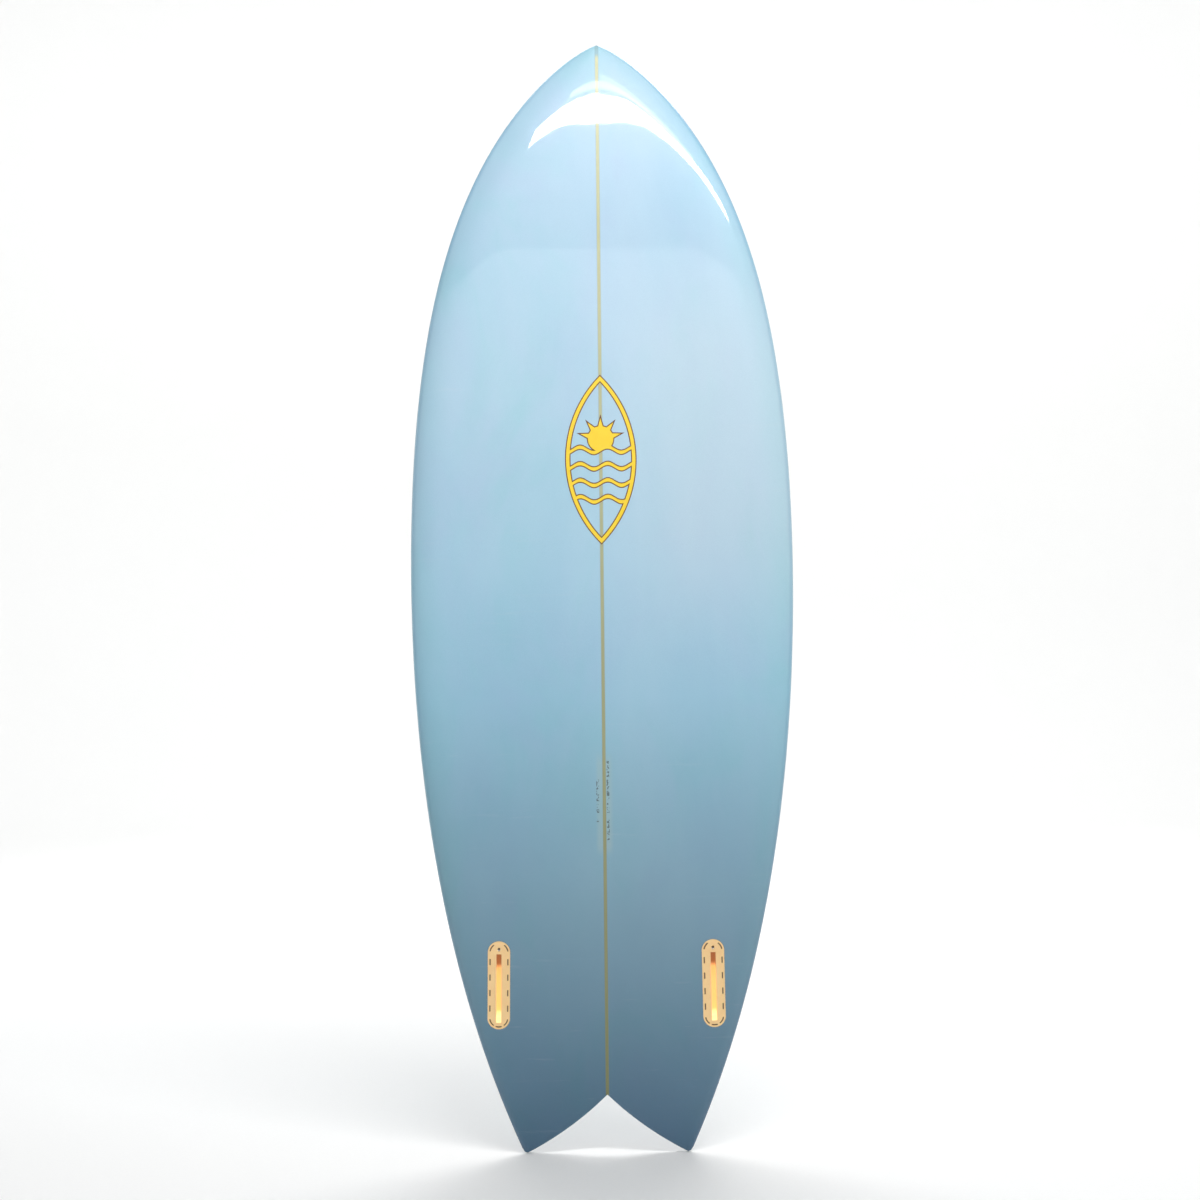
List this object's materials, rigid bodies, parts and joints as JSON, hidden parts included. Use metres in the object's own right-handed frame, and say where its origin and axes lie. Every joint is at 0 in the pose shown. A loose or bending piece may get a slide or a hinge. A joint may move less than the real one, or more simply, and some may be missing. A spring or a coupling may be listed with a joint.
{
  "type": "surfboard",
  "caption": "Twin-fin fish surfboard: foam core with a wooden stringer, tinted glass skins, swallow tail, slotted fin boxes with clamp screws and a leash plug.",
  "frame": {"origin": "on the ground between the tail tips, under the middle of the bounding box; a rack or stand holds the board here", "axes": "+Z from tail to nose, +Y out of the deck, -Y out of the bottom, +X to the right of someone facing the bottom"},
  "size_m": [0.559, 0.121, 1.651],
  "materials": {
    "foam": "matte, closed-cell foam",
    "stringer_wood": "sanded",
    "glue": "cured glue",
    "blue_resin": "tinted resin over glass cloth, polished",
    "clear_cloth": "glass cloth in clear resin",
    "cream_plastic": "moulded, sanded face",
    "clear_resin": "cast resin",
    "stainless": "brushed",
    "yellow_print": "print under gloss resin"
  },
  "bodies": {
    "board": {"foam_core_left": "foam", "foam_core_right": "foam", "stringer": "stringer_wood", "glue_line_left": "glue", "glue_line_right": "glue", "bottom_laminate": "blue_resin", "deck_laminate": "blue_resin", "deck_patch": "clear_cloth", "tail_patch": "clear_cloth", "fin_patch_left": "clear_cloth", "fin_patch_right": "clear_cloth", "fin_box_left": "cream_plastic", "fin_box_right": "cream_plastic", "fin_box_bed_left": "clear_resin", "fin_box_bed_right": "clear_resin", "leash_cup": "cream_plastic", "leash_bar": "stainless", "leash_cup_bed": "clear_resin", "logo_decal": "yellow_print"},
    "screw_left": {"fin_screw_left": "stainless"},
    "screw_right": {"fin_screw_right": "stainless"}
  },
  "joints": [
    {"name": "fin_screw_left_travel", "type": "slide", "parent": "board", "child": "screw_left", "axis": [-0.0128, 0.8005, -0.5992], "range_m": [0, 0.003]},
    {"name": "fin_screw_right_travel", "type": "slide", "parent": "board", "child": "screw_right", "axis": [0.0128, 0.8005, -0.5992], "range_m": [0, 0.003]}
  ]
}
